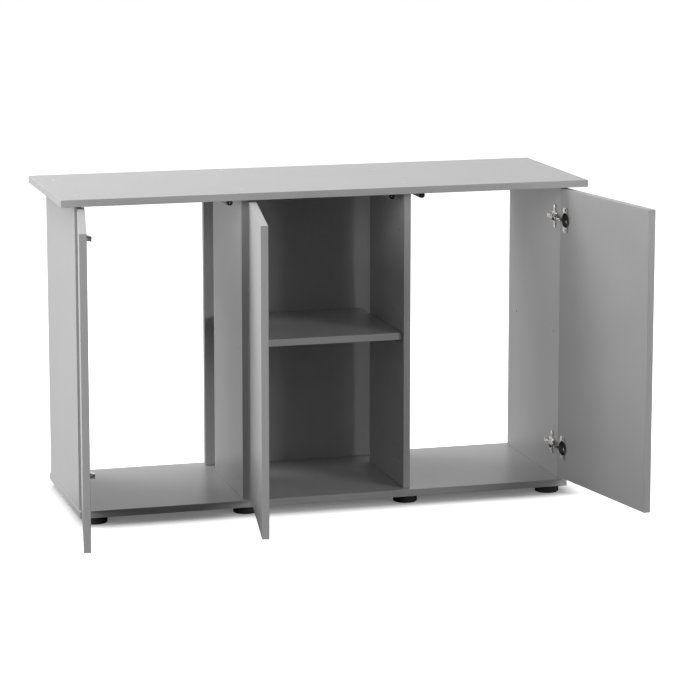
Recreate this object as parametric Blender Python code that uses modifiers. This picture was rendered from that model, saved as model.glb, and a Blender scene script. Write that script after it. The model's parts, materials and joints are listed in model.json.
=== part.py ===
"""Aquarium stand cabinet: a board carcass with three bays, three doors and concealed hinges.

Metres, +Z up. The parts are laid out under one empty, measured from the floor, from the
middle of the width and from the front edge of the top panel, with y running to the back.
"""
import math

import bmesh
import bpy
from mathutils import Matrix, Vector

PARTS = "aquarium_stand_cabinet"
CUTTERS = "cutters"

# ---- the carcass ----
HEIGHT = 0.730
TOP_WIDTH = 1.210
TOP_DEPTH = 0.415
BOARD = 0.016
CLEARANCE = 0.0003
EDGE_ROUND = 0.0006
CARCASS_WIDTH = 1.138
CARCASS_FRONT = 0.036
SIDE_REAR = 0.392
DIVIDER_REAR = 0.310
DIVIDER_X = 0.188
BOTTOM_WIDTH = 1.140
BOTTOM_FRONT = 0.019
BOTTOM_REAR = 0.408
BACK_WIDTH = 0.408
BACK_FRONT = 0.372
SHELF_TOP = 0.391
SHELF_FRONT = 0.045
SHELF_REAR = 0.3705
SHELF_SIDE_PLAY = 0.0015
PIN_OUT = 0.009
PIN_IN = 0.009
PIN_SPIGOT_RADIUS = 0.0023

# ---- feet ----
FOOT_HEIGHT = 0.016
FOOT_RADIUS = 0.0275
FOOT_FRONT_Y = 0.048
FOOT_REAR_Y = 0.379
FOOT_SIDE_X = 0.531
FOOT_EASE = 0.002
FOOT_EASE_BREAK = 0.3
FOOT_RECESS_RADIUS = 0.008
FOOT_RECESS = 0.004

# ---- doors ----
DOOR_BOTTOM = 0.038
DOOR_TOP = 0.710
DOOR_FRONT = 0.018
DOOR_GAP = 0.0035
DOOR_OPEN = math.radians(100.0)
PIVOT_IN = 0.006
PIVOT_BACK = 0.00283

# ---- hinges: x in from the hinge edge of the door, y back from its outer face ----
HINGE_RISE = 0.265
CUP_RADIUS = 0.0172
CUP_IN = 0.0225
BORE_RADIUS = 0.0175
BORE_DEPTH = 0.012
FLANGE_HEIGHT = 0.057
FLANGE_WIDTH = 0.021
FLANGE_THICK = 0.001
FLANGE_WAIST = 0.006
FLANGE_SCREW = 0.0225
SCREW_HOLE_RADIUS = 0.0022
PLATE_THICK = 0.0018
PLATE_BED = 0.0042
PLATE_WING = 0.054
PLATE_NECK = 0.012
PLATE_BODY = 0.034
PLATE_ROOT = 0.009
PLATE_NECK_FLARE = 1.25
PLATE_ROOT_SLOPE = 0.9
PLATE_BED_LENGTH = 0.030
CUP_WALL = 0.0005
CUP_FLOOR = 0.001
CUP_NOTCH = 0.005
ARM_WIDTH = 0.010
ARM_SLOT = 0.0068
ARM_THICK = 0.005
ARM_REAR = 0.028
ARM_BEND = 0.042
ARM_NECK = 0.024
ARM_FORK = 0.021
LINK_WIDTH = 0.0029
LINK_THICK = 0.0022
LINK_OFFSET = 0.00165
EYE_RADIUS = 0.0022
ARM_CRANK = 1.4
LINK_STEPS = 8
LINK_EYE_START = math.radians(50)
LINK_EYE_SWEEP = math.radians(280)
PIN_RADIUS = 0.0012
PIN_HOLE_RADIUS = 0.0015

# each link: its pin on the arm, its length, its direction when the door is shut, its bow,
# its turn for each turn of the door, and the side of the hinge's middle that it lies on
LINKS = {
    "outer_link": ((0.0335, 0.0087), 0.0237, math.radians(173.8), 0.0032, 0.33, 1),
    "inner_link": ((0.0290, 0.0135), 0.0209, math.radians(189.2), 0.0052, 0.39, -1),
}

# ---- drilling: the 32 mm system, 37 mm in from the front edge ----
SYSTEM_HOLE_RADIUS = 0.0025
SYSTEM_HOLE_DEPTH = 0.010
SYSTEM_SETBACK = 0.037
SYSTEM_PITCH = 0.032
PIN_DROP = 0.0035
CAP_RADIUS = 0.005
CAP_DEPTH = 0.004
BOLT_RADIUS = 0.0025
BACK_BOLT_X = 0.160
REAR_HOLE_EXTRA = 0.020

# ---- push-to-open latches ----
LATCH_DROP = 0.009
LATCH_RADIUS = 0.0075
LATCH_FRONT = 0.0435
LATCH_LENGTH = 0.075
LATCH_X = {"left": -0.222, "center": 0.152, "right": 0.222}
PLUNGER_RADIUS = 0.004
PLUNGER_LENGTH = 0.050
TIP_RADIUS = 0.0065
TIP_LENGTH = 0.005
TIP_PLAY = 0.0005
LATCH_BORE = 0.060
LATCH_BASE_WIDTH = 0.026
LATCH_BASE_LENGTH = 0.036
LATCH_BASE_THICK = 0.0024

# ---- how finely round shapes are divided ----
HOLE_STEPS = 10
BORE_STEPS = 20
CUP_STEPS = 28
TURNED_STEPS = 24
PIN_STEPS = 16
LINK_PIN_STEPS = 12
SCREW_HOLE_STEPS = 12
EYE_STEPS = 9

# worked out from the sizes above
QUARTER = math.radians(90)
TOP_UNDERSIDE = HEIGHT - BOARD
BOTTOM_TOP = FOOT_HEIGHT + BOARD
SIDE_X = CARCASS_WIDTH / 2 - BOARD / 2
SHELF_BOTTOM = SHELF_TOP - BOARD
PIN_Z = SHELF_BOTTOM - CLEARANCE - PIN_DROP
SYSTEM_Y = CARCASS_FRONT + SYSTEM_SETBACK
REAR_HOLE_SIDE = SIDE_REAR - SYSTEM_SETBACK - REAR_HOLE_EXTRA
REAR_HOLE_DIVIDER = 0.302
DOOR_MIDDLE = (DOOR_TOP + DOOR_BOTTOM) / 2
HINGE_Z = {"lower": DOOR_MIDDLE - HINGE_RISE, "upper": DOOR_MIDDLE + HINGE_RISE}
OUTER_EDGE = CARCASS_WIDTH / 2
INNER_EDGE = DIVIDER_X - DOOR_GAP / 2
SIDE_DOOR_WIDTH = OUTER_EDGE - DIVIDER_X - DOOR_GAP / 2

# name, hinge-side edge in x, direction from that edge into the bay, door width, face it is hung on
DOORS = (
    ("left", -OUTER_EDGE, 1, SIDE_DOOR_WIDTH, -OUTER_EDGE + BOARD),
    ("center", -INNER_EDGE, 1, 2 * INNER_EDGE, -DIVIDER_X + BOARD / 2),
    ("right", OUTER_EDGE, -1, SIDE_DOOR_WIDTH, OUTER_EDGE - BOARD),
)


def collection(name):
    """The scene's collection of that name, made the first time that it is asked for."""
    group = bpy.data.collections.get(name)
    if group is None:
        group = bpy.data.collections.new(name)
        bpy.context.scene.collection.children.link(group)
    return group


def finish(name, color, metallic, roughness):
    """A Principled material, with its display colour."""
    made = bpy.data.materials.new(name)
    made.use_nodes = True
    shader = made.node_tree.nodes["Principled BSDF"]
    shader.inputs["Base Color"].default_value = (*color, 1.0)
    shader.inputs["Metallic"].default_value = metallic
    shader.inputs["Roughness"].default_value = roughness
    made.diffuse_color = (*color, 1.0)
    return made


def place(name, data, look, parent, location=(0, 0, 0), rotation=(0, 0, 0)):
    """A part: one named object under its parent, with its own material."""
    part = bpy.data.objects.new(name, data)
    if data.materials:
        data.materials[0] = look
    else:
        data.materials.append(look)
    part.parent = parent
    part.location = location
    part.rotation_euler = rotation
    collection(PARTS).objects.link(part)
    return part


def empty(name, location, parent=None, turn=0.0):
    """A bare axis or frame that parts hang from."""
    frame = bpy.data.objects.new(name, None)
    frame.location = location
    frame.rotation_euler.z = turn
    frame.parent = parent
    collection(PARTS).objects.link(frame)
    return frame


def block(centre, size):
    """A box about centre."""
    shape = bmesh.new()
    bmesh.ops.create_cube(shape, size=1.0)
    bmesh.ops.scale(shape, vec=size, verts=shape.verts)
    bmesh.ops.translate(shape, vec=centre, verts=shape.verts)
    return shape


def write_mesh(name, shape):
    """A mesh made of a shape, which is used up."""
    mesh = bpy.data.meshes.new(name)
    shape.to_mesh(mesh)
    shape.free()
    return mesh


def add_cylinder(shape, centre, axis, radius, length, segments):
    """A cylinder about centre, with its length along axis."""
    turn = Vector((0, 0, 1)).rotation_difference(Vector(axis)).to_matrix().to_4x4()
    bmesh.ops.create_cone(shape, cap_ends=True, segments=segments, radius1=radius, radius2=radius,
                          depth=length, matrix=Matrix.Translation(centre) @ turn)


def cutter(name, shape, parent):
    """A shape that only cuts or joins: kept out of the parts and out of renders."""
    tool = bpy.data.objects.new(name, write_mesh(name, shape))
    tool.parent = parent
    tool.hide_render = True
    tool.display_type = "WIRE"
    collection(CUTTERS).objects.link(tool)
    return tool


def combine(part, tool, operation="DIFFERENCE"):
    """Cut a part with a tool, or join the tool to it."""
    joint = part.modifiers.new(tool.name, "BOOLEAN")
    joint.operation = operation
    joint.solver = "EXACT"
    joint.object = tool


def round_edges(part):
    """Break the sharp edges of a part."""
    rounding = part.modifiers.new("edges", "BEVEL")
    rounding.width = EDGE_ROUND
    rounding.segments = 1
    rounding.limit_method = "ANGLE"
    rounding.angle_limit = math.radians(40)


def board(name, low, high, parent, look):
    """A board between two corners, its long edges just broken."""
    low = Vector(low)
    high = Vector(high)
    part = place(name, write_mesh(name, block((0, 0, 0), high - low)), look, parent, (low + high) / 2)
    round_edges(part)
    return part


def drill(part, holes, parent, ending="_holes"):
    """Cut round holes: each is a centre, an axis, a radius and a length."""
    shape = bmesh.new()
    for centre, axis, radius, length in holes:
        steps = BORE_STEPS if radius == BORE_RADIUS else HOLE_STEPS
        add_cylinder(shape, centre, axis, radius, length, steps)
    combine(part, cutter(part.name + ending, shape, parent))


def outline(name, points, thickness, look, parent, location=(0, 0, 0), rotation=(0, 0, 0), holes=()):
    """A flat outline as a mesh: a filled 2D curve in x and y, thickened about z = 0."""
    flat = bpy.data.curves.new(name, "CURVE")
    flat.dimensions = "2D"
    flat.fill_mode = "BOTH"
    flat.extrude = thickness / 2
    loops = [points] + [circle(middle, radius, SCREW_HOLE_STEPS) for middle, radius in holes]
    for loop in loops:
        spline = flat.splines.new("POLY")
        spline.points.add(len(loop) - 1)
        for point, (x, y) in zip(spline.points, loop):
            point.co = (x, y, 0, 1)
        spline.use_cyclic_u = True
    guide = bpy.data.objects.new(name + "_curve", flat)
    collection(PARTS).objects.link(guide)
    mesh = bpy.data.meshes.new_from_object(guide.evaluated_get(bpy.context.evaluated_depsgraph_get()))
    bpy.data.objects.remove(guide)
    shape = bmesh.new()
    shape.from_mesh(mesh)
    bmesh.ops.remove_doubles(shape, verts=shape.verts, dist=0.00001)
    bmesh.ops.recalc_face_normals(shape, faces=shape.faces)
    shape.to_mesh(mesh)
    shape.free()
    return place(name, mesh, look, parent, location, rotation)


def circle(middle, radius, steps, start=0.0, sweep=math.tau):
    """Points round a circle, or along part of one."""
    count = steps if sweep == math.tau else steps + 1
    angles = [start + sweep * step / steps for step in range(count)]
    return [(middle[0] + radius * math.cos(a), middle[1] + radius * math.sin(a)) for a in angles]


def turned(name, profile, look, parent, location, rotation=(0, 0, 0), steps=TURNED_STEPS):
    """A turned solid: its profile runs down the outer side, as radius and height, and is spun."""
    shape = bmesh.new()
    points = [shape.verts.new((radius, 0, height)) for radius, height in profile]
    for first, second in zip(points, points[1:]):
        shape.edges.new((first, second))
    part = place(name, write_mesh(name, shape), look, parent, location, rotation)
    spin = part.modifiers.new("spin", "SCREW")
    spin.angle = math.tau
    spin.steps = steps
    spin.render_steps = steps
    spin.use_merge_vertices = True
    spin.merge_threshold = 0.00001
    return part


def blind(face_x, into, y, z, radius=SYSTEM_HOLE_RADIUS, depth=SYSTEM_HOLE_DEPTH):
    """A blind hole along x, drilled from a face at face_x in the direction into."""
    return (face_x + into * (depth - CAP_DEPTH) / 2, y, z), (1, 0, 0), radius, depth + CAP_DEPTH


def hinge_holes(face_x, into):
    """The screw holes of an upper and a lower hinge plate."""
    heights = [middle + up * SYSTEM_PITCH / 2 for middle in HINGE_Z.values() for up in (-1, 1)]
    return [blind(face_x, into, SYSTEM_Y, height) for height in heights]


def make_top(frame, look):
    """The top panel, with a countersunk bolt hole over every upright and the back panel."""
    top = board("top_panel", (-TOP_WIDTH / 2, 0, TOP_UNDERSIDE), (TOP_WIDTH / 2, TOP_DEPTH, HEIGHT),
                frame, look)
    places = [(SIDE_X, SYSTEM_Y), (SIDE_X, REAR_HOLE_SIDE), (DIVIDER_X, SYSTEM_Y),
              (DIVIDER_X, REAR_HOLE_DIVIDER), (BACK_BOLT_X, BACK_FRONT + BOARD / 2)]
    holes = []
    for x, y in places:
        for side in (-1, 1):
            holes.append(((side * x, y, HEIGHT), (0, 0, 1), CAP_RADIUS, 2 * CAP_DEPTH))
    drill(top, holes, frame)
    bolts = [((x, y, HEIGHT - BOARD / 2), axis, BOLT_RADIUS, 2 * BOARD) for (x, y, _), axis, _, _ in holes]
    drill(top, bolts, frame, "_bolts")


def make_carcass(frame, look):
    """Bottom, sides, dividers and back, each board stopping just short of its neighbours."""
    board("bottom_panel", (-BOTTOM_WIDTH / 2, BOTTOM_FRONT, FOOT_HEIGHT),
          (BOTTOM_WIDTH / 2, BOTTOM_REAR, BOTTOM_TOP), frame, look)
    foot, head = BOTTOM_TOP + CLEARANCE, TOP_UNDERSIDE - CLEARANCE
    for side, name in ((-1, "left"), (1, "right")):
        panel = board(name + "_side_panel", (side * SIDE_X - BOARD / 2, CARCASS_FRONT, foot),
                      (side * SIDE_X + BOARD / 2, SIDE_REAR, head), frame, look)
        inner = side * (SIDE_X - BOARD / 2)
        pins = [blind(inner, side, y, PIN_Z) for y in (SYSTEM_Y, REAR_HOLE_SIDE)]
        drill(panel, hinge_holes(inner, side) + pins, frame)
        divider = board(name + "_divider", (side * DIVIDER_X - BOARD / 2, CARCASS_FRONT, foot),
                        (side * DIVIDER_X + BOARD / 2, DIVIDER_REAR, head), frame, look)
        inner = side * (DIVIDER_X - BOARD / 2)
        through = [((side * DIVIDER_X, y, PIN_Z), (1, 0, 0), SYSTEM_HOLE_RADIUS, 2 * BOARD)
                   for y in (SYSTEM_Y, REAR_HOLE_DIVIDER)]
        drill(divider, hinge_holes(inner, side) + through, frame)
    board("back_panel", (-BACK_WIDTH / 2, BACK_FRONT, foot),
          (BACK_WIDTH / 2, BACK_FRONT + BOARD, head), frame, look)


def make_shelf(frame, look, pin_look):
    """The loose shelf of the middle bay and the four pins that it lies on."""
    reach = DIVIDER_X - BOARD / 2 - SHELF_SIDE_PLAY
    board("shelf", (-reach, SHELF_FRONT, SHELF_BOTTOM), (reach, SHELF_REAR, SHELF_TOP), frame, look)
    profile = [(0, PIN_OUT), (PIN_DROP, PIN_OUT), (PIN_DROP, CLEARANCE),
               (PIN_SPIGOT_RADIUS, CLEARANCE), (PIN_SPIGOT_RADIUS, -PIN_IN), (0, -PIN_IN)]
    for side, name in ((-1, "left"), (1, "right")):
        face = side * (DIVIDER_X - BOARD / 2)
        for y, row in ((SYSTEM_Y, "front"), (REAR_HOLE_DIVIDER, "rear")):
            turned(f"{row}_{name}_shelf_pin", profile, pin_look, frame, (face, y, PIN_Z),
                   (0, -side * QUARTER, 0), PIN_STEPS)


def make_feet(frame, look):
    """A round foot with an eased rim and a screw recess under each end of each upright."""
    top = FOOT_HEIGHT - CLEARANCE
    profile = [(0, top), (FOOT_RADIUS, top), (FOOT_RADIUS, 2 * FOOT_EASE),
               (FOOT_RADIUS - FOOT_EASE_BREAK * FOOT_EASE, 2 * FOOT_EASE_BREAK * FOOT_EASE),
               (FOOT_RADIUS - FOOT_EASE, 0),
               (FOOT_RECESS_RADIUS, 0), (FOOT_RECESS_RADIUS, FOOT_RECESS), (0, FOOT_RECESS)]
    columns = (("far_left", -FOOT_SIDE_X), ("mid_left", -DIVIDER_X),
               ("mid_right", DIVIDER_X), ("far_right", FOOT_SIDE_X))
    for name, x in columns:
        for row, y in (("front", FOOT_FRONT_Y), ("rear", FOOT_REAR_Y)):
            turned(f"{row}_{name}_foot", profile, look, frame, (x, y, 0))


def make_door(frame, name, edge, hand, width, look):
    """A door hung shut in its pivot's frame, which is then turned open."""
    pivot = empty(name + "_door_pivot", (edge + hand * PIVOT_IN, DOOR_FRONT + PIVOT_BACK, 0),
                  frame, -hand * DOOR_OPEN)
    ends = sorted((-hand * PIVOT_IN, hand * (width - PIVOT_IN)))
    door = board(name + "_door", (ends[0], -PIVOT_BACK, DOOR_BOTTOM),
                 (ends[1], BOARD - PIVOT_BACK, DOOR_TOP), pivot, look)
    face = BOARD - PIVOT_BACK
    bores = [((hand * (CUP_IN - PIVOT_IN), face, z), (0, 1, 0), BORE_RADIUS, 2 * BORE_DEPTH)
             for z in HINGE_Z.values()]
    drill(door, bores, pivot)
    return pivot


def make_cup(pivot, name, hand, z, look):
    """A pressed cup with an eared flange, open towards the cabinet when the door is shut."""
    x = hand * (CUP_IN - PIVOT_IN)
    face = BOARD - PIVOT_BACK
    ear_z = FLANGE_HEIGHT / 2 - FLANGE_WAIST
    half = FLANGE_WIDTH / 2
    ears = []
    for up in (1, -1):
        ears += circle((half - FLANGE_WAIST, up * ear_z), FLANGE_WAIST, 3, up * QUARTER - QUARTER, QUARTER)
        ears += circle((FLANGE_WAIST - half, up * ear_z), FLANGE_WAIST, 3, up * QUARTER, QUARTER)
    screws = [((0, up * FLANGE_SCREW), SCREW_HOLE_RADIUS) for up in (1, -1)]
    flange_y = face + CLEARANCE + FLANGE_THICK / 2
    cup = outline(name, ears, FLANGE_THICK, look, pivot, (x, flange_y, z), (QUARTER, 0, 0), screws)
    rim = face + CLEARANCE + FLANGE_THICK
    floor = face - BORE_DEPTH + CLEARANCE
    shell = bmesh.new()
    add_cylinder(shell, (x, (rim + floor) / 2, z), (0, 1, 0), CUP_RADIUS, rim - floor, CUP_STEPS)
    combine(cup, cutter(name + "_shell", shell, pivot), "UNION")
    hollow = bmesh.new()
    add_cylinder(hollow, (x, rim, z), (0, 1, 0), CUP_RADIUS - CUP_WALL,
                 2 * (rim - floor - CUP_FLOOR), CUP_STEPS)
    combine(cup, cutter(name + "_hollow", hollow, pivot))
    notch = block((x - hand * CUP_RADIUS, rim, z), (CUP_NOTCH, 2 * CUP_NOTCH, ARM_WIDTH))
    combine(cup, cutter(name + "_notch", notch, pivot))


def make_plate(frame, name, face, hand, z, look):
    """A winged mounting plate with a raised bed for the arm, screwed to an upright's face."""
    wing, neck, root = PLATE_WING / 2, PLATE_NECK / 2, PLATE_ROOT
    body = PLATE_BODY / 2
    quarter = [(wing, neck), (root, neck * PLATE_NECK_FLARE), (root * PLATE_ROOT_SLOPE, body)]
    cross = quarter + [(-x, y) for x, y in quarter[::-1]]
    cross += [(-x, -y) for x, y in quarter] + [(x, -y) for x, y in quarter[::-1]]
    screws = [((up * SYSTEM_PITCH / 2, 0), SCREW_HOLE_RADIUS) for up in (1, -1)]
    middle = face + hand * (CLEARANCE + PLATE_THICK / 2)
    plate = outline(name, cross, PLATE_THICK, look, frame, (middle, SYSTEM_Y, z), (0, QUARTER, 0), screws)
    bed_x = face + hand * (CLEARANCE + (PLATE_BED + PLATE_THICK / 2) / 2)
    bed = block((bed_x, SYSTEM_Y, z), (PLATE_BED - PLATE_THICK / 2, PLATE_BED_LENGTH, ARM_WIDTH))
    combine(plate, cutter(name + "_bed", bed, frame), "UNION")


def make_arm(frame, name, edge, face, hand, z, look):
    """The arm on its plate, cranked out to a forked head that carries the two link pins."""
    low = abs(face - edge) + PLATE_BED + 2 * CLEARANCE
    high = low + ARM_THICK
    rear = SYSTEM_Y - DOOR_FRONT + ARM_REAR
    (outer_x, outer_y), (inner_x, inner_y) = [pin[0] for pin in LINKS.values()]
    eye = EYE_RADIUS
    head = circle((outer_x, outer_y), eye, 5, -QUARTER * 1.5, QUARTER * 1.5)
    side = [(low, rear), (low, ARM_BEND), (inner_x - ARM_CRANK * eye, ARM_NECK)]
    side += [(inner_x - eye, inner_y - eye)]
    side += head + [(outer_x + eye, ARM_NECK), (high, ARM_BEND + ARM_THICK), (high, rear)]
    points = [(hand * x, y) for x, y in side]
    pins = [((hand * pin[0][0], pin[0][1]), PIN_HOLE_RADIUS) for pin in LINKS.values()]
    arm = outline(name, points, ARM_WIDTH, look, frame, (edge, DOOR_FRONT, z), holes=pins)
    slot = block((edge + hand * inner_x, DOOR_FRONT, z), (outer_x, 2 * ARM_FORK, ARM_SLOT))
    combine(arm, cutter(name + "_slot", slot, frame))


def make_link(frame, name, kind, edge, hand, z, look):
    """A bowed link with its pin in the arm's fork; its other end lies free in the cup."""
    (pin_x, pin_y), length, heading, bow, ratio, up = LINKS[kind]
    half = LINK_THICK / 2
    heading_turn = Matrix.Rotation(heading, 2)
    shares = [i / LINK_STEPS for i in range(LINK_STEPS + 1)]
    middle = [Vector((length * share, 4 * bow * share * (1 - share))) for share in shares]
    sides = ([], [])
    for i in range(1, LINK_STEPS + 1):
        along = (middle[min(i + 1, LINK_STEPS)] - middle[i - 1]).normalized()
        across = Vector((-along.y, along.x)) * half
        sides[0].append(middle[i] + across)
        sides[1].append(middle[i] - across)
    eye = [Vector(p) for p in circle((0, 0), EYE_RADIUS, EYE_STEPS, LINK_EYE_START, LINK_EYE_SWEEP)]
    around = [heading_turn @ p for p in eye + sides[1] + sides[0][::-1]]
    points = [(hand * p.x, p.y) for p in around]
    spot = (edge + hand * pin_x, DOOR_FRONT + pin_y, z)
    centre_z = up * LINK_OFFSET
    link = outline(name, points, LINK_WIDTH, look, frame, (spot[0], spot[1], z + centre_z),
                   (0, 0, hand * ratio * DOOR_OPEN))
    pin = bmesh.new()
    add_cylinder(pin, spot, (0, 0, 1), PIN_RADIUS, ARM_WIDTH - CLEARANCE, LINK_PIN_STEPS)
    combine(link, cutter(name + "_pin", pin, frame), "UNION")


def make_latch(frame, name, x, look, tip_look):
    """A push latch: a bored housing on a base strip, and a plunger with a soft round tip."""
    z = TOP_UNDERSIDE - LATCH_DROP
    roof = TOP_UNDERSIDE - CLEARANCE
    middle_y = LATCH_FRONT + LATCH_LENGTH / 2
    base = (LATCH_BASE_WIDTH / 2, LATCH_BASE_LENGTH / 2)
    housing = board(name + "_latch_housing", (x - base[0], middle_y - base[1], roof - LATCH_BASE_THICK),
                    (x + base[0], middle_y + base[1], roof), frame, look)
    barrel = bmesh.new()
    add_cylinder(barrel, (x, middle_y, z), (0, 1, 0), LATCH_RADIUS, LATCH_LENGTH, TURNED_STEPS)
    combine(housing, cutter(name + "_latch_barrel", barrel, frame), "UNION")
    bore = bmesh.new()
    add_cylinder(bore, (x, LATCH_FRONT, z), (0, 1, 0), PLUNGER_RADIUS + CLEARANCE, 2 * LATCH_BORE,
                 BORE_STEPS)
    combine(housing, cutter(name + "_latch_bore", bore, frame))
    rod = -PLUNGER_LENGTH
    ease = TIP_LENGTH / 4
    profile = [(0, 0), (TIP_RADIUS - ease, 0), (TIP_RADIUS, -ease), (TIP_RADIUS, -TIP_LENGTH),
               (PLUNGER_RADIUS, -TIP_LENGTH), (PLUNGER_RADIUS, rod), (0, rod)]
    tip_y = DOOR_FRONT + BOARD + TIP_PLAY
    turned(name + "_latch_plunger", profile, tip_look, frame, (x, tip_y, z), (QUARTER, 0, 0),
           BORE_STEPS)


def make_hinge(frame, pivot, name, level, edge, face, hand, look):
    """One concealed hinge: plate and arm on the upright, two links, and a cup in the door."""
    z = HINGE_Z[level]
    stem = f"{name}_{level}_"
    make_plate(frame, stem + "hinge_plate", face, hand, z, look)
    make_arm(frame, stem + "hinge_arm", edge, face, hand, z, look)
    for kind in LINKS:
        make_link(frame, stem + kind, kind, edge, hand, z, look)
    make_cup(pivot, stem + "hinge_cup", hand, z, look)


def main():
    """Clear the scene and build the cabinet."""
    for thing in list(bpy.data.objects):
        bpy.data.objects.remove(thing, do_unlink=True)
    # the row's origin is under the middle of the whole object, with its doors open
    reach = (SIDE_DOOR_WIDTH - PIVOT_IN) * math.sin(DOOR_OPEN) - (BOARD - PIVOT_BACK) * math.cos(DOOR_OPEN)
    foremost = DOOR_FRONT + PIVOT_BACK - reach
    frame = empty("cabinet_frame", (0, -(TOP_DEPTH + foremost) / 2, 0))
    boards = finish("light_grey_melamine", (0.42, 0.42, 0.42), 0.0, 0.45)
    black = finish("black_plastic", (0.02, 0.02, 0.02), 0.0, 0.5)
    nickel = finish("nickel_plated_steel", (0.72, 0.70, 0.67), 1.0, 0.28)
    grey = finish("grey_plastic", (0.30, 0.31, 0.32), 0.0, 0.45)
    make_top(frame, boards)
    make_carcass(frame, boards)
    make_shelf(frame, boards, black)
    make_feet(frame, black)
    for name, edge, hand, width, face in DOORS:
        pivot = make_door(frame, name, edge, hand, width, boards)
        for level in HINGE_Z:
            make_hinge(frame, pivot, name, level, edge, face, hand, nickel)
        make_latch(frame, name, LATCH_X[name], grey, black)


main()
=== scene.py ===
"""Aquarium stand cabinet: finishes, fittings, studio floor, lights and camera."""

import json
import math

import bmesh
import bpy
from bpy.props import FloatProperty, FloatVectorProperty, IntProperty, PointerProperty
from mathutils import Matrix, Vector


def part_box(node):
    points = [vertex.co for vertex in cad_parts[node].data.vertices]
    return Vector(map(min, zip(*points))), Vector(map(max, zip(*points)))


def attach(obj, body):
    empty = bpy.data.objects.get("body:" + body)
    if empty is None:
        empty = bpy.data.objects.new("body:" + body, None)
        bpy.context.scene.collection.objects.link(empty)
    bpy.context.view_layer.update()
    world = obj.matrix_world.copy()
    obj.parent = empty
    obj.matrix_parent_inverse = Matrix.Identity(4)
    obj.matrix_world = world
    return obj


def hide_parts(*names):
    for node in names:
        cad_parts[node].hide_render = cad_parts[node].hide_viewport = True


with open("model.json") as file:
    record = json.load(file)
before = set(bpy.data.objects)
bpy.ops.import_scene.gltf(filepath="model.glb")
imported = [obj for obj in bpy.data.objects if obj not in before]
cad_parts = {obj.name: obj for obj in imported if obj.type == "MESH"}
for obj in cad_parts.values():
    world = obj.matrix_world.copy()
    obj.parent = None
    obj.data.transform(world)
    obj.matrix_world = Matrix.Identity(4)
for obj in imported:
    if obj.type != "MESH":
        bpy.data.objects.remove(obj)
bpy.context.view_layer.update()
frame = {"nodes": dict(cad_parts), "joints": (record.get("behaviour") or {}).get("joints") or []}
JOINTS = {joint["name"]: joint for joint in frame["joints"]}

bl_info = {
    "name": "Aquarium Stand Cabinet",
    "version": (1, 0, 0),
    "blender": (4, 5, 0),
    "location": "View3D > Sidebar > Stand",
    "description": "Finishes and fits out a three-bay aquarium stand cabinet",
    "category": "Object",
}

MM = 0.001
BOARD = 16 * MM
CLEARANCE = 0.3 * MM
MERGE = 0.005 * MM
CREASE = math.radians(34)
DOOR_OPEN = math.radians(100)
QUARTER = math.pi / 2
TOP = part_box("top_panel")[1].z
DOOR_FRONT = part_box("top_panel")[0].y + 18 * MM

# name: x of the hinge edge, direction from it into the bay, mounting face's distance from that edge
DOORS = {
    "left": (-569 * MM, 1, 16 * MM),
    "center": (-186.25 * MM, 1, 6.25 * MM),
    "right": (569 * MM, -1, 16 * MM),
}
LEVELS = ("lower", "upper")
OUTER_PIN = Vector((33.5, 8.7)) * MM
INNER_PIN = Vector((29.0, 13.5)) * MM
EYE = 2.2 * MM
# the hinge plates: their sheet, the height of their raised bed, their line back from the front of
# the shut doors, and how far their screws and the cups' screws lie from the middle
PLATE = 1.8 * MM
BED = 4.2 * MM
SYSTEM_LINE = 55 * MM
WING_SCREW = 16 * MM
EAR_SCREW = 22.5 * MM
# finishes: the band on the board edges, half its joint's width, and the worn strip along an arris
BAND = 0.9 * MM
BAND_JOINT = 0.12 * MM
ARRIS = 1.6 * MM


# ---- settings ----
class StandFinish(bpy.types.PropertyGroup):
    """Colours and textures of the cabinet."""

    board: FloatVectorProperty(
        name="Board", description="Melamine colour", subtype="COLOR", size=3, min=0, max=1,
        default=(0.50, 0.50, 0.502))
    core: FloatVectorProperty(
        name="Core", description="Raw board inside the drilled holes", subtype="COLOR", size=3,
        min=0, max=1, default=(0.23, 0.17, 0.11))
    nickel: FloatVectorProperty(
        name="Nickel", description="Plated hinge steel", subtype="COLOR", size=3, min=0, max=1,
        default=(0.72, 0.70, 0.68))
    black: FloatVectorProperty(
        name="Black", description="Moulded black plastic", subtype="COLOR", size=3, min=0, max=1,
        default=(0.012, 0.012, 0.013))
    grey: FloatVectorProperty(
        name="Grey", description="Moulded grey plastic of the latches", subtype="COLOR", size=3,
        min=0, max=1, default=(0.42, 0.43, 0.44))
    cap: FloatVectorProperty(
        name="Cap", description="Cover caps in the top", subtype="COLOR", size=3, min=0, max=1,
        default=(0.86, 0.86, 0.86))
    pearl: FloatProperty(
        name="Pearl", description="Height of the fine pearl texture pressed into the boards",
        subtype="DISTANCE", default=0.00006, min=0, max=0.001, precision=5)
    wear: FloatProperty(
        name="Wear", description="Rubbing along the arrises of the boards", subtype="FACTOR",
        default=0.35, min=0, max=1)


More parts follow.
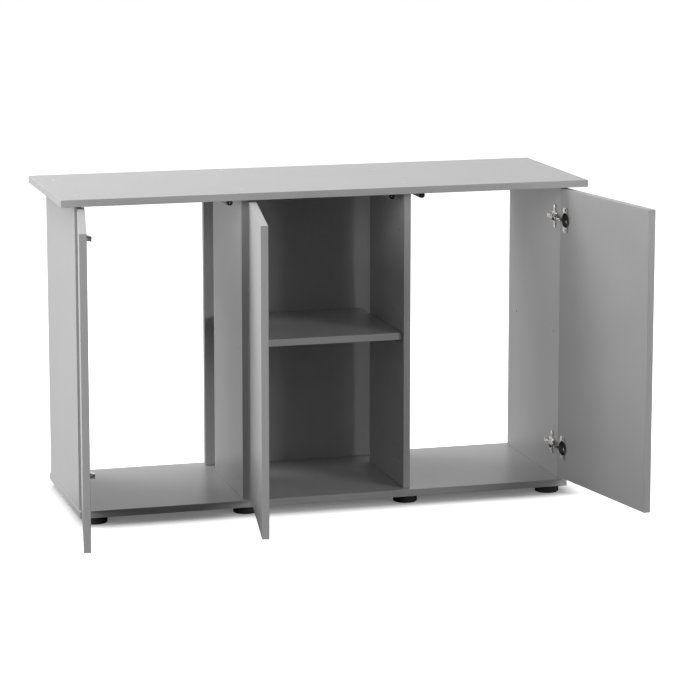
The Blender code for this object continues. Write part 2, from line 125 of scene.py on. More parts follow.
class StandFittings(bpy.types.PropertyGroup):
    """Sizes of the small fittings."""

    screw_head: FloatProperty(
        name="Screw Head", description="Radius of a hinge screw's head", subtype="DISTANCE",
        default=3.1 * MM, min=1 * MM, max=5 * MM, precision=4)
    screw_rise: FloatProperty(
        name="Screw Rise", description="Height of a hinge screw's head", subtype="DISTANCE",
        default=1.0 * MM, min=0.3 * MM, max=3 * MM, precision=4)
    ease: FloatProperty(
        name="Ease", description="Rounding of the pressed steel edges", subtype="DISTANCE",
        default=0.3 * MM, min=0.05 * MM, max=1 * MM, precision=5)
    ring_steps: IntProperty(
        name="Ring Steps", description="Steps round a turned piece", default=48, min=12, max=128)
    foot_groove: FloatProperty(
        name="Foot Groove", description="Depth of the groove round each foot", subtype="DISTANCE",
        default=0.8 * MM, min=0, max=3 * MM, precision=4)
    cap_dome: FloatProperty(
        name="Cap Dome", description="Fall of a cap from its middle to its rim", subtype="DISTANCE",
        default=0.25 * MM, min=0, max=1 * MM, precision=5)


class StandStage(bpy.types.PropertyGroup):
    """Camera, floor and lights."""

    eye: FloatVectorProperty(
        name="Camera", description="Where the camera stands", subtype="TRANSLATION", size=3,
        unit="LENGTH", default=(-1.6904, -6.1199, 1.6173))
    heading: FloatProperty(
        name="Heading", description="Turn of the camera to the right of straight on",
        subtype="ANGLE", default=0.2745)
    tilt: FloatProperty(
        name="Tilt", description="Tilt of the camera below level", subtype="ANGLE", default=0.1684)
    lens: FloatProperty(
        name="Lens", description="Focal length in millimetres", unit="CAMERA",
        default=151.97, min=20, max=400)
    rise: FloatProperty(
        name="Rise", description="Vertical lens shift", subtype="FACTOR", default=-0.1, min=-1,
        max=1)
    top_light: FloatProperty(
        name="Top Light", description="Power of the softbox above and behind", unit="POWER",
        default=36.0)
    left_light: FloatProperty(
        name="Left Light", description="Power of the high softbox on the left", unit="POWER",
        default=52.0)
    front_left_light: FloatProperty(
        name="Front Left Light", description="Power of the low softbox at the front left",
        unit="POWER", default=63.0)
    rear_left_light: FloatProperty(
        name="Rear Left Light", description="Power of the softbox behind on the left",
        unit="POWER", default=19.0)
    right_light: FloatProperty(
        name="Right Light", description="Power of the softbox at the front right", unit="POWER",
        default=50.0)
    fill: FloatProperty(
        name="Fill", description="Brightness of the room round the stage", subtype="FACTOR",
        default=0.14, min=0, max=2)
    bounce: FloatProperty(
        name="Bounce", description="Light that the floor gives back to the cabinet",
        subtype="FACTOR", default=0.02, min=0, max=2)
    gleam: FloatProperty(
        name="Gleam", description="Brightness of the white backdrop in reflections",
        subtype="FACTOR", default=0.93, min=0, max=4)
    # the floor's painted glow fades in over this distance from the cabinet, so the soft edge of the
    # shadow at its foot is painted shade
    contact: FloatProperty(
        name="Contact", description="How far the shadow at the cabinet's foot reaches",
        subtype="DISTANCE", default=0.07, min=0.01, max=2)
    floor: FloatVectorProperty(
        name="Floor", description="Floor colour as the camera sees it", subtype="COLOR", size=3,
        min=0, max=1, default=(0.98, 0.98, 0.98))


SETTINGS = (StandFinish, StandFittings, StandStage)


# ---- materials ----
def step(tree, kind, inputs=(), **settings):
    """Adds a node and fills its inputs with values or links."""
    made = tree.nodes.new(kind)
    for key, value in settings.items():
        setattr(made, key, value)
    for key, value in dict(inputs).items():
        if isinstance(value, bpy.types.NodeSocket):
            tree.links.new(value, made.inputs[key])
        else:
            made.inputs[key].default_value = value
    return made


def math_node(tree, operation, first, second=0.0, third=0.0):
    """A Math node's result."""
    return step(tree, "ShaderNodeMath", {0: first, 1: second, 2: third},
                operation=operation).outputs[0]


def blend(tree, factor, first, second, mode="MIX"):
    """Two colours mixed by a factor."""
    made = step(tree, "ShaderNodeMix", {0: factor, 6: first, 7: second}, data_type="RGBA",
                blend_type=mode)
    return made.outputs[2]


def spread(tree, value, low, high, to_low=0.0, to_high=1.0):
    """A value eased from one range to another."""
    made = step(tree, "ShaderNodeMapRange",
                {0: value, 1: low, 2: high, 3: to_low, 4: to_high}, interpolation_type="SMOOTHSTEP")
    return made.outputs[0]


def noise(tree, where, scale, detail=2.0, roughness=0.5):
    """A noise value at a place."""
    made = step(tree, "ShaderNodeTexNoise",
                {"Vector": where, "Scale": scale, "Detail": detail, "Roughness": roughness})
    return made.outputs[0]


def new_group(name, inputs, outputs):
    """An empty node group with named sockets, and its input and output nodes."""
    tree = bpy.data.node_groups.new(name, "ShaderNodeTree")
    for label, kind, value in inputs:
        socket = tree.interface.new_socket(label, in_out="INPUT", socket_type="NodeSocket" + kind)
        if value is not None:
            socket.default_value = value
    for label, kind in outputs:
        tree.interface.new_socket(label, in_out="OUTPUT", socket_type="NodeSocket" + kind)
    return tree, tree.nodes.new("NodeGroupInput"), tree.nodes.new("NodeGroupOutput")


def arris_group():
    """Masks for a board: its arrises, its raw inside, and the joint of its edge band."""
    tree, given, result = new_group(
        "board_arris",
        (("Vector", "Vector", None), ("Half Size", "Vector", None), ("Width", "Float", ARRIS)),
        (("Arris", "Float"), ("Core", "Float"), ("Band", "Float")))
    size = step(tree, "ShaderNodeVectorMath", {0: given.outputs["Vector"]}, operation="ABSOLUTE")
    depth = step(tree, "ShaderNodeVectorMath",
                 {0: given.outputs["Half Size"], 1: size.outputs[0]}, operation="SUBTRACT")
    axes = step(tree, "ShaderNodeSeparateXYZ", {0: depth.outputs[0]}).outputs
    near = [spread(tree, axis, 0.0, given.outputs["Width"], 1.0, 0.0) for axis in axes]
    pairs = [math_node(tree, "MULTIPLY", near[i], near[(i + 1) % 3]) for i in range(3)]
    arris = math_node(tree, "MAXIMUM", math_node(tree, "MAXIMUM", pairs[0], pairs[1]), pairs[2])
    closest = math_node(tree, "MINIMUM", math_node(tree, "MINIMUM", axes[0], axes[1]), axes[2])
    core = math_node(tree, "GREATER_THAN", closest, BAND)
    # the band's joint shows on the faces beside the edge
    line = math_node(tree, "COMPARE", closest, 0.0, 0.4 * MM)
    second = [math_node(tree, "COMPARE", axis, BAND, BAND_JOINT) for axis in axes[:2]]
    band = math_node(tree, "MULTIPLY", line, math_node(tree, "MAXIMUM", second[0], second[1]))
    tree.links.new(arris, result.inputs["Arris"])
    tree.links.new(core, result.inputs["Core"])
    tree.links.new(band, result.inputs["Band"])
    return tree


def grain_group():
    """A moulded or pressed surface: fine height, slow mottling, and roughness that follows both."""
    tree, given, result = new_group(
        "surface_grain",
        (("Vector", "Vector", None), ("Fineness", "Float", 900.0), ("Mottle Scale", "Float", 6.0),
         ("Roughness", "Float", 0.4), ("Roughness Spread", "Float", 0.1)),
        (("Height", "Float"), ("Mottle", "Float"), ("Roughness", "Float")))
    fine = noise(tree, given.outputs["Vector"], given.outputs["Fineness"], 3.0, 0.55)
    slow = noise(tree, given.outputs["Vector"], given.outputs["Mottle Scale"], 3.0, 0.6)
    both = math_node(tree, "ADD", math_node(tree, "MULTIPLY", fine, 0.6),
                     math_node(tree, "MULTIPLY", slow, 0.4))
    offset = math_node(tree, "SUBTRACT", both, 0.5)
    rough = math_node(tree, "MULTIPLY_ADD", offset, given.outputs["Roughness Spread"],
                      given.outputs["Roughness"])
    tree.links.new(fine, result.inputs["Height"])
    tree.links.new(slow, result.inputs["Mottle"])
    tree.links.new(rough, result.inputs["Roughness"])
    return tree


def group(name):
    """A shared effect, built the first time that it is asked for."""
    builders = {"board_arris": arris_group, "surface_grain": grain_group}
    return bpy.data.node_groups.get(name) or builders[name]()


def use_group(tree, name, inputs):
    """Places a shared effect in a material."""
    made = tree.nodes.new("ShaderNodeGroup")
    made.node_tree = group(name)
    for key, value in inputs.items():
        if isinstance(value, bpy.types.NodeSocket):
            tree.links.new(value, made.inputs[key])
        else:
            made.inputs[key].default_value = value
    return made.outputs


def new_material(name):
    """An empty material with its shader."""
    made = bpy.data.materials.new(name)
    made.use_nodes = True
    tree = made.node_tree
    return made, tree, tree.nodes["Principled BSDF"]


def shade(color, factor):
    """A colour made lighter or darker, with an alpha."""
    return tuple(min(1.0, part * factor) for part in color) + (1.0,)


def board_finish(name, centre, half, turn):
    """Melamine on one board, laid out from the board's own middle and turn."""
    looks = bpy.context.scene.stand_finish
    made, tree, shader = new_material(name)
    where = step(tree, "ShaderNodeTexCoord").outputs["Object"]
    local = step(tree, "ShaderNodeMapping",
                 {"Vector": where, "Location": centre, "Rotation": (0, 0, turn)},
                 vector_type="TEXTURE").outputs[0]
    grain = use_group(tree, "surface_grain", {
        "Vector": local, "Fineness": 850.0, "Mottle Scale": 5.0, "Roughness": 0.36,
        "Roughness Spread": 0.16})
    arris = use_group(tree, "board_arris", {
        "Vector": local, "Half Size": half, "Width": ARRIS})
    tone = spread(tree, grain["Mottle"], 0.3, 0.7)
    face = blend(tree, tone, shade(looks.board, 0.975), shade(looks.board, 1.025))
    face = blend(tree, math_node(tree, "MULTIPLY", grain["Height"], 0.10), face,
                 shade(looks.board, 0.80))
    rubbed = noise(tree, local, 38.0, 4.0, 0.7)
    rubbed = math_node(tree, "MULTIPLY", spread(tree, rubbed, 0.42, 0.68), arris["Arris"])
    rubbed = math_node(tree, "MULTIPLY", rubbed, looks.wear)
    face = blend(tree, rubbed, face, shade(looks.board, 1.30))
    face = blend(tree, math_node(tree, "MULTIPLY", arris["Band"], 0.45), face,
                 shade(looks.board, 0.55))
    chips = noise(tree, local, 900.0, 2.0, 0.8)
    raw = blend(tree, chips, shade(looks.core, 0.5), shade(looks.core, 1.4))
    color = blend(tree, arris["Core"], face, raw)
    rough = math_node(tree, "MAXIMUM", grain["Roughness"],
                      math_node(tree, "MULTIPLY", arris["Core"], 0.9))
    bump = step(tree, "ShaderNodeBump",
                {"Height": grain["Height"], "Strength": 0.35, "Distance": looks.pearl})
    tree.links.new(color, shader.inputs["Base Color"])
    tree.links.new(rough, shader.inputs["Roughness"])
    tree.links.new(bump.outputs[0], shader.inputs["Normal"])
    return made


def moulded_finish(name, color, roughness, fineness=1400.0, depth=0.00008, metallic=0.0):
    """Plastic or metal with a fine surface: tone, gloss and grain vary over it."""
    found = bpy.data.materials.get(name)
    if found:
        return found
    made, tree, shader = new_material(name)
    where = step(tree, "ShaderNodeTexCoord").outputs["Object"]
    grain = use_group(tree, "surface_grain", {
        "Vector": where, "Fineness": fineness, "Mottle Scale": 90.0, "Roughness": roughness,
        "Roughness Spread": 0.35 * roughness})
    tone = spread(tree, grain["Mottle"], 0.3, 0.7)
    tree.links.new(blend(tree, tone, shade(color, 0.86), shade(color, 1.08)),
                   shader.inputs["Base Color"])
    tree.links.new(grain["Roughness"], shader.inputs["Roughness"])
    bump = step(tree, "ShaderNodeBump",
                {"Height": grain["Height"], "Strength": 0.4, "Distance": depth})
    tree.links.new(bump.outputs[0], shader.inputs["Normal"])
    shader.inputs["Metallic"].default_value = metallic
    return made


def nickel():
    """Satin nickel on pressed steel."""
    return moulded_finish("satin_nickel", bpy.context.scene.stand_finish.nickel, 0.30, 2200.0,
                          0.00002, 1.0)


def bright_zinc():
    """Bright plating on screws and rivets."""
    return moulded_finish("bright_zinc", (0.80, 0.80, 0.78), 0.20, 1600.0, 0.00002, 1.0)


def dark_steel():
    """Darker, duller steel inside the cups: the darker colour is painted shade in the cup's hollow."""
    return moulded_finish("dark_steel", (0.30, 0.295, 0.285), 0.45, 1600.0, 0.00002, 1.0)


def black_plastic():
    """Grained black plastic."""
    return moulded_finish("black_plastic", bpy.context.scene.stand_finish.black, 0.48)


def black_rubber():
    """Smooth black rubber of the latch tips."""
    return moulded_finish("black_rubber", bpy.context.scene.stand_finish.black, 0.26, 900.0,
                          0.00003)


def grey_plastic():
    """Grained grey plastic of the latch housings."""
    return moulded_finish("grey_plastic", bpy.context.scene.stand_finish.grey, 0.42)


def cap_plastic():
    """Pale plastic of the cover caps."""
    return moulded_finish("cap_plastic", bpy.context.scene.stand_finish.cap, 0.40)


def dress(node, look):
    """Gives a CAD node its material."""
    node.data.materials.clear()
    node.data.materials.append(look)


# ---- shaping ----
def cleaned(shape):
    """Merges doubled points and faces the shell outwards."""
    bmesh.ops.remove_doubles(shape, verts=shape.verts, dist=MERGE)
    bmesh.ops.recalc_face_normals(shape, faces=shape.faces)
    return shape


def eased(shape, width, segments=2, angle=35):
    """Rounds the sharp edges."""
    sharp = [edge for edge in shape.edges
             if edge.is_manifold and edge.calc_face_angle() > math.radians(angle)]
    bmesh.ops.bevel(shape, geom=sharp, offset=width, segments=segments, affect="EDGES",
                    profile=0.5, material=-1, clamp_overlap=True)
    return shape


def slab(points, low, high, ease=0.0):
    """A flat outline in x and y, from one height to another."""
    shape = bmesh.new()
    face = shape.faces.new([shape.verts.new((x, y, low)) for x, y in points])
    grown = bmesh.ops.extrude_face_region(shape, geom=[face])["geom"]
    bmesh.ops.translate(shape, vec=(0, 0, high - low),
                        verts=[part for part in grown if isinstance(part, bmesh.types.BMVert)])
    cleaned(shape)
    return eased(shape, ease) if ease else shape


def bar(size, centre=(0, 0, 0), ease=0.0):
    """A rectangular bar about a centre."""
    shape = bmesh.new()
    bmesh.ops.create_cube(shape, size=1.0)
    bmesh.ops.scale(shape, vec=size, verts=shape.verts)
    bmesh.ops.translate(shape, vec=centre, verts=shape.verts)
    return eased(shape, ease) if ease else shape


def turned(profile, steps=None):
    """A profile of radius and height spun round z, closed at both ends on the axis."""
    shape = bmesh.new()
    points = [shape.verts.new((radius, 0, height)) for radius, height in profile]
    edges = [shape.edges.new(pair) for pair in zip(points, points[1:])]
    bmesh.ops.spin(shape, geom=points + edges, cent=(0, 0, 0), axis=(0, 0, 1), dvec=(0, 0, 0),
                   angle=math.tau, steps=steps or bpy.context.scene.stand_fittings.ring_steps,
                   use_merge=True)
    return cleaned(shape)


def arc(centre, radius, start, sweep, steps):
    """Points along an arc, both ends included."""
    turns = [math.radians(start + sweep * i / steps) for i in range(steps + 1)]
    return [(centre[0] + radius * math.cos(a), centre[1] + radius * math.sin(a)) for a in turns]


def moved(shape, matrix):
    """Turns and places a shape."""
    bmesh.ops.transform(shape, matrix=matrix, verts=shape.verts)
    return shape


def carve(base, tool, operation="DIFFERENCE"):
    """Cuts or joins base with tool, and uses both up."""
    things = []
    for shape in (base, tool):
        mesh = bpy.data.meshes.new("carving")
        shape.to_mesh(mesh)
        shape.free()
        thing = bpy.data.objects.new("carving", mesh)
        bpy.context.scene.collection.objects.link(thing)
        things.append(thing)
    cut = things[0].modifiers.new("cut", "BOOLEAN")
    cut.operation = operation
    cut.solver = "EXACT"
    cut.object = things[1]
    bpy.context.view_layer.update()
    result = bmesh.new()
    result.from_object(things[0], bpy.context.evaluated_depsgraph_get())
    for thing in things:
        mesh = thing.data
        bpy.data.objects.remove(thing)
        bpy.data.meshes.remove(mesh)
    if not result.faces:
        raise RuntimeError("a cut left nothing")
    return result


def join(shapes):
    """Puts several closed shapes in one mesh."""
    whole = bmesh.new()
    for shape in shapes:
        mesh = bpy.data.meshes.new("joining")
        shape.to_mesh(mesh)
        shape.free()
        whole.from_mesh(mesh)
        bpy.data.meshes.remove(mesh)
    return whole


def write(name, shape, look, body, slot, *nodes):
    """Makes a piece of a shape: it rides on a body and may stand for CAD nodes."""
    bmesh.ops.recalc_face_normals(shape, faces=shape.faces)
    mesh = bpy.data.meshes.new(name)
    shape.to_mesh(mesh)
    shape.free()
    mesh.shade_smooth()
    mesh.set_sharp_from_angle(angle=CREASE)
    piece = bpy.data.objects.new(name, mesh)
    mesh.materials.append(look)
    bpy.context.scene.collection.objects.link(piece)
    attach(piece, body)
    if nodes:
        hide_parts(*nodes)
    return piece


def screw_head(radius, rise, slot_width=0.34):
    """A domed head standing on z = 0, with a cross recess."""
    dome = [(0, rise), (0.45 * radius, 0.97 * rise), (0.78 * radius, 0.78 * rise),
            (0.96 * radius, 0.38 * rise), (radius, 0), (0.9 * radius, -0.4 * rise),
            (0, -0.4 * rise)]
    head = turned(dome, 32)
    for turn in (0, QUARTER):
        arm = bar((1.25 * radius, slot_width * radius, 1.1 * rise), (0, 0, rise))
        head = carve(head, moved(arm, Matrix.Rotation(turn + 0.5, 4, "Z")))
    return head


def countersink(thick):
    """A cutter for a countersunk hole through a sheet from z = 0 to thick."""
    narrow, wide = 2.4 * MM, 3.9 * MM
    return turned([(0, 2 * thick), (wide, 2 * thick), (wide, 0.75 * thick), (narrow, -thick),
                   (0, -thick)], 32)


def rivet_head(radius, rise):
    """A low rounded head on z = 0."""
    return turned([(0, rise), (0.6 * radius, 0.93 * rise), (0.9 * radius, 0.6 * rise),
                   (radius, 0), (0, 0)], 24)


def in_bay(name):
    """Places hinge shapes: x in from the hinge edge, y back from the shut door's face, z up."""
    edge, hand, _ = DOORS[name]
    return Matrix.Translation((edge, DOOR_FRONT, 0)) @ Matrix.Diagonal((hand, 1, 1, 1))


def on_door(name):
    """The same for shapes on the door, which stands open at rest."""
    joint = JOINTS[name + "_door_hinge"]
    pivot = Matrix.Translation(Vector(joint["pos_m"]))
    turn = Matrix.Rotation(-DOORS[name][1] * DOOR_OPEN, 4, "Z")
    return pivot @ turn @ pivot.inverted() @ in_bay(name)


def hinges():
    """Each hinge: its door, its stem for names, and its height."""
    for name in DOORS:
        for level in LEVELS:
            stem = f"{name}_{level}_"
            low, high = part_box(stem + "hinge_plate")
            yield name, stem, (low.z + high.z) / 2


# ---- operators ----
class StandOperator:
    """What every operator of this panel shares."""

    bl_options = {"REGISTER", "UNDO"}


class STAND_OT_boards(StandOperator, bpy.types.Operator):
    """Finish the eight boards of the carcass"""

    bl_idname = "stand.boards"
    bl_label = "Finish Boards"
    boards = ("top_panel", "bottom_panel", "left_side_panel", "right_side_panel", "left_divider",
              "right_divider", "back_panel", "shelf")

    def execute(self, context):
        for name in self.boards:
            low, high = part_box(name)
            look = board_finish("melamine_" + name, (low + high) / 2, (high - low) / 2, 0.0)
            dress(frame["nodes"][name], look)
        return {"FINISHED"}


class STAND_OT_doors(StandOperator, bpy.types.Operator):
    """Finish the three doors, each in its own turned frame"""

    bl_idname = "stand.doors"
    bl_label = "Finish Doors"
    height = 672 * MM
    widths = {"left": 379.25 * MM, "center": 372.5 * MM, "right": 379.25 * MM}

    def execute(self, context):
        for name, (_, hand, _) in DOORS.items():
            half = Vector((self.widths[name], BOARD, self.height)) / 2
            low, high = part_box(name + "_door")
            middle = on_door(name) @ Vector((half.x, half.y, (low.z + high.z) / 2))
            look = board_finish(f"melamine_{name}_door", middle, half, -hand * DOOR_OPEN)
            dress(frame["nodes"][name + "_door"], look)
        return {"FINISHED"}


class STAND_OT_plates(StandOperator, bpy.types.Operator):
    """Build the winged mounting plates and their screws"""

    bl_idname = "stand.plates"
    bl_label = "Build Hinge Plates"
    seat = 1.1 * MM

    def execute(self, context):
        sizes = context.scene.stand_fittings
        screw = screw_head(sizes.screw_head, sizes.screw_rise)
        for name, stem, middle in hinges():
            face = DOORS[name][2] + CLEARANCE
            place = in_bay(name) @ Matrix.Translation((face, SYSTEM_LINE, middle))
            place = place @ Matrix.Rotation(QUARTER, 4, "Y")
            write(stem + "winged_plate", moved(self.plate(sizes), place), nickel(), "cabinet",
                  "nickel", stem + "hinge_plate")
            heads = [moved(screw.copy(), place @ Matrix.Translation((side * WING_SCREW, 0, self.seat)))
                     for side in (-1, 1)]
            write(stem + "plate_screws", join(heads), bright_zinc(), "cabinet", "nickel")
        screw.free()
        return {"FINISHED"}

    def plate(self, sizes):
        """Wings along x, body along y, and a raised bed with a ridge each side of the arm."""
        tip, neck, root, body = 21 * MM, 6 * MM, 9 * MM, 17 * MM
        quarter = arc((tip, 0), neck, 0, 90, 6)
        quarter += arc((root + 2 * MM, neck + 2 * MM), 2 * MM, 270, -90, 4)
        quarter += arc((root - 2 * MM, body - 2 * MM), 2 * MM, 0, 90, 4)
        half = quarter + [(-x, y) for x, y in quarter[::-1]]
        whole = half + [(x, -y) for x, y in half[::-1][1:-1]]
        plate = slab(whole, 0, PLATE, sizes.ease)
        for side in (-1, 1):
            plate = carve(plate, moved(countersink(PLATE),
                                       Matrix.Translation((side * WING_SCREW, 0, 0))))
        bed = bar((9.4 * MM, 30 * MM, 3.2 * MM), (0, 0, BED - 1.6 * MM), 0.5 * MM)
        ribs = [bar((2 * MM, 24 * MM, 0.8 * MM), (side * 6.6 * MM, 0, 2.0 * MM), 0.3 * MM)
                for side in (-1, 1)]
        return join([plate, bed] + ribs)


class STAND_OT_arms(StandOperator, bpy.types.Operator):
    """Build the channel arms with their adjusting screws and rivets"""

    bl_idname = "stand.arms"
    bl_label = "Build Hinge Arms"
    wall = 1.4 * MM
    thick = 5 * MM
    half = 5 * MM
    bend = 42 * MM
    neck = 24 * MM
    rear = 83 * MM

    def execute(self, context):
        sizes = context.scene.stand_fittings
        screw = screw_head(2.7 * MM, 0.8 * MM)
        rivet = rivet_head(1.9 * MM, 0.5 * MM)
        for name, stem, middle in hinges():
            low = DOORS[name][2] + BED + 2 * CLEARANCE
            high = low + self.thick
            place = in_bay(name) @ Matrix.Translation((0, 0, middle))
            write(stem + "channel_arm", moved(self.channel(low, high, sizes), place), nickel(),
                  "cabinet", "nickel", stem + "hinge_arm")
            out = Matrix.Rotation(QUARTER, 4, "Y")
            spots = ((self.rear - 20 * MM, 0), (self.rear - 5 * MM, -2.7 * MM),
                     (self.rear - 5 * MM, 2.7 * MM))
            heads = [moved((rivet if up else screw).copy(),
                           place @ Matrix.Translation((high, depth, up)) @ out)
                     for depth, up in spots]
            for pin in (OUTER_PIN, INNER_PIN):
                for side in (-1, 1):
                    spot = Matrix.Translation((pin.x, pin.y, side * self.half))
                    turn = Matrix.Rotation(0 if side > 0 else math.pi, 4, "X")
                    heads.append(moved(rivet.copy(), place @ spot @ turn))
            write(stem + "arm_screws", join(heads), bright_zinc(), "cabinet", "nickel")
        screw.free()
        rivet.free()
        return {"FINISHED"}

    def channel(self, low, high, sizes):
        """Two cheeks joined by a web along their outer side, open towards the plate."""
        rear = self.rear
        side = [(low, rear), (low, self.bend), (INNER_PIN.x - 1.4 * EYE, self.neck),
                (INNER_PIN.x - EYE, INNER_PIN.y - EYE)]
        side += arc(OUTER_PIN, EYE, -135, 135, 8)
        crank = self.bend + 5 * MM
        side += [(OUTER_PIN.x + EYE, self.neck), (high, crank), (high, rear)]
        parts = [slab(side, at, at + self.wall, 0.25 * MM)
                 for at in (-self.half, self.half - self.wall)]
        edge = [(high, rear), (high, crank), (OUTER_PIN.x + EYE, self.neck)]
        web = edge + [(x - self.wall, y) for x, y in edge[::-1]]
        parts.append(slab(web, -4.4 * MM, 4.4 * MM, 0.2 * MM))
        parts.append(bar((3 * MM, 10 * MM, 6.6 * MM),
                         (low + 1.8 * MM, rear - 8 * MM, 0), sizes.ease))
        return join(parts)


class STAND_OT_links(StandOperator, bpy.types.Operator):
    """Finish the links that carry each cup"""

    bl_idname = "stand.links"
    bl_label = "Finish Links"

    def execute(self, context):
        for _, stem, _ in hinges():
            for kind in ("outer_link", "inner_link"):
                dress(frame["nodes"][stem + kind], nickel())
        return {"FINISHED"}


class STAND_OT_cups(StandOperator, bpy.types.Operator):
    """Build the hinge cups in the doors and their screws"""

    bl_idname = "stand.cups"
    bl_label = "Build Hinge Cups"
    centre = 22.5 * MM
    radius = 17.2 * MM
    depth = 12 * MM

    def execute(self, context):
        sizes = context.scene.stand_fittings
        cup = self.cup()
        screw = screw_head(sizes.screw_head - 0.2 * MM, 0.9 * MM)
        upright = Matrix.Rotation(-QUARTER, 4, "X")
        for name, stem, middle in hinges():
            place = on_door(name) @ Matrix.Translation((self.centre, BOARD + CLEARANCE, middle))
            place = place @ upright
            # the cup's second material is darker steel, painted shade for its hollow
            write(stem + "flanged_cup", moved(cup.copy(), place), nickel(), name + "_door",
                  "nickel", stem + "hinge_cup").data.materials.append(dark_steel())
            heads = [moved(screw.copy(),
                           place @ Matrix.Translation((0, side * EAR_SCREW, 0.5 * MM)))
                     for side in (-1, 1)]
            write(stem + "cup_screws", join(heads), bright_zinc(), name + "_door", "nickel")
        cup.free()
        screw.free()
        return {"FINISHED"}

    def cup(self):
        """An eared flange round a deep pressed cup, its mouth up and its near wall notched."""
        half, ear = 10.5 * MM, 28.5 * MM
        corner = 6 * MM
        reach = math.degrees(math.acos(half / self.radius))
        quarter = arc((0, 0), self.radius, 0, reach, 7)[:-1]
        quarter += [(half, math.sqrt(self.radius ** 2 - half ** 2) + 1 * MM)]
        quarter += arc((half - corner, ear - corner), corner, 0, 90, 6)
        rest = [(-x, y) for x, y in quarter[::-1]]
        upper = quarter + rest
        lower = [(x, -y) for x, y in upper[::-1][1:-1]]
        flange = slab(upper + lower, 0, 1 * MM, 0.2 * MM)
        shell = turned([(0, 0.9 * MM), (self.radius - 0.1 * MM, 0.9 * MM),
                        (self.radius - 0.1 * MM, -self.depth + 1.5 * MM),
                        (self.radius - 0.6 * MM, -self.depth + 0.5 * MM),
                        (self.radius - 1.6 * MM, -self.depth), (0, -self.depth)])
        for side in (-1, 1):
            flange = carve(flange, moved(countersink(1 * MM),
                                         Matrix.Translation((0, side * EAR_SCREW, 0))))
        body = carve(flange, shell, "UNION")
        mouth = self.radius - 0.5 * MM
        floor = -self.depth + 1 * MM
        hollow = turned([(0, 3 * MM), (mouth, 3 * MM), (mouth, floor + 1.2 * MM),
                         (mouth - 1.2 * MM, floor), (5 * MM, floor), (4.6 * MM, floor - 0.3 * MM),
                         (0, floor - 0.3 * MM)])
        body = carve(body, hollow)
        notch = bar((5 * MM, 10 * MM, 10 * MM), (-self.radius, 0, 1 * MM))
        body = carve(body, notch)
        # the cup's inside walls and floor take the second material: darker steel painted as shade in
        # the hollow
        for face in body.faces:
            middle = face.calc_center_median()
            inside = middle.xy.length < mouth + 0.1 * MM and middle.z < 0.4 * MM
            face.material_index = int(inside and middle.z > floor - 0.5 * MM)
        return body


class STAND_OT_latches(StandOperator, bpy.types.Operator):
    """Build the push latches under the top: housings, screws and plungers"""

    bl_idname = "stand.latches"
    bl_label = "Build Push Latches"
    barrel = 7.5 * MM
    base = 2.4 * MM

    def execute(self, context):
        screw = screw_head(2.4 * MM, 0.7 * MM)
        for name in DOORS:
            low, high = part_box(name + "_latch_housing")
            middle = (low + high) / 2
            axis = low.z + self.barrel
            forward = Matrix.Translation((middle.x, low.y, axis)) @ Matrix.Rotation(
                -QUARTER, 4, "X")
            write(name + "_latch_body", self.housing(forward, middle, low, high), grey_plastic(),
                  "cabinet", "latch_plastic", name + "_latch_housing")
            down = Matrix.Rotation(math.pi, 4, "X")
            heads = [moved(screw.copy(), Matrix.Translation(
                (middle.x + side * 10.1 * MM, middle.y + side * 10 * MM, high.z - self.base)) @ down)
                for side in (-1, 1)]
            write(name + "_latch_screws", join(heads), bright_zinc(), "cabinet", "nickel")
            self.plunger(name, middle.x, axis)
        screw.free()
        return {"FINISHED"}

    def housing(self, forward, middle, low, high):
        """A bored barrel with a collar and rings on a two-screw base."""
        length = high.y - low.y
        outer, slim, bore = self.barrel, 6.9 * MM, 4.3 * MM
        profile = [(0, 60 * MM), (bore, 60 * MM), (bore, 0.5 * MM), (bore + 0.5 * MM, 0),
                   (outer - 0.7 * MM, 0), (outer, 0.7 * MM), (outer, 4 * MM), (slim, 4.6 * MM)]
        for ring in range(5):
            at = 12 * MM + ring * 11 * MM
            profile += [(slim, at), (outer - 0.1 * MM, at + 0.5 * MM),
                        (outer - 0.1 * MM, at + 1.5 * MM), (slim, at + 2 * MM)]
        profile += [(slim, length - 2.5 * MM), (slim - 0.9 * MM, length - 0.8 * MM),
                    (slim - 2.5 * MM, length), (0, length)]
        barrel = moved(turned(profile), forward)
        points = []
        for x, y, start in ((1, 1, 0), (-1, 1, 90), (-1, -1, 180), (1, -1, 270)):
            points += arc((x * 9 * MM, y * 14 * MM), 4 * MM, start, 90, 5)
        base = slab(points, high.z - self.base, high.z, 0.3 * MM)
        moved(base, Matrix.Translation((middle.x, middle.y, 0)))
        web = bar((9 * MM, 34 * MM, 5.5 * MM), (middle.x, middle.y, high.z - 3.2 * MM), 0.3 * MM)
        return join([barrel, base, web])

    def plunger(self, name, x, axis):
        """A grey rod with a round soft tip, and a small bright stud in the tip's middle."""
        low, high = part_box(name + "_latch_plunger")
        body = name + "_latch_plunger"
        forward = Matrix.Translation((x, low.y, axis)) @ Matrix.Rotation(-QUARTER, 4, "X")
        wide, thick, rod = 6.5 * MM, 5 * MM, 4 * MM
        tip = [(0, 0.5 * MM), (4.3 * MM, 0.5 * MM), (4.7 * MM, 0.1 * MM), (5.4 * MM, 0),
               (6.1 * MM, 0.3 * MM), (wide, 1 * MM), (wide, thick - 0.8 * MM),
               (wide - 0.5 * MM, thick), (0, thick)]
        write(name + "_latch_tip", moved(turned(tip), forward), black_rubber(), body,
              "black_plastic", body)
        length = high.y - low.y
        shaft = [(0, thick - 0.2 * MM), (rod - 0.3 * MM, thick - 0.2 * MM),
                 (rod, thick + 0.4 * MM), (rod, length - 0.8 * MM), (rod - 0.8 * MM, length),
                 (0, length)]
        write(name + "_latch_rod", moved(turned(shaft), forward), grey_plastic(), body,
              "latch_plastic")
        stud = [(0, 0.15 * MM), (0.9 * MM, 0.2 * MM), (1.3 * MM, 0.55 * MM), (0, 0.55 * MM)]
        write(name + "_latch_stud", moved(turned(stud, 24), forward), bright_zinc(), body,
              "nickel")


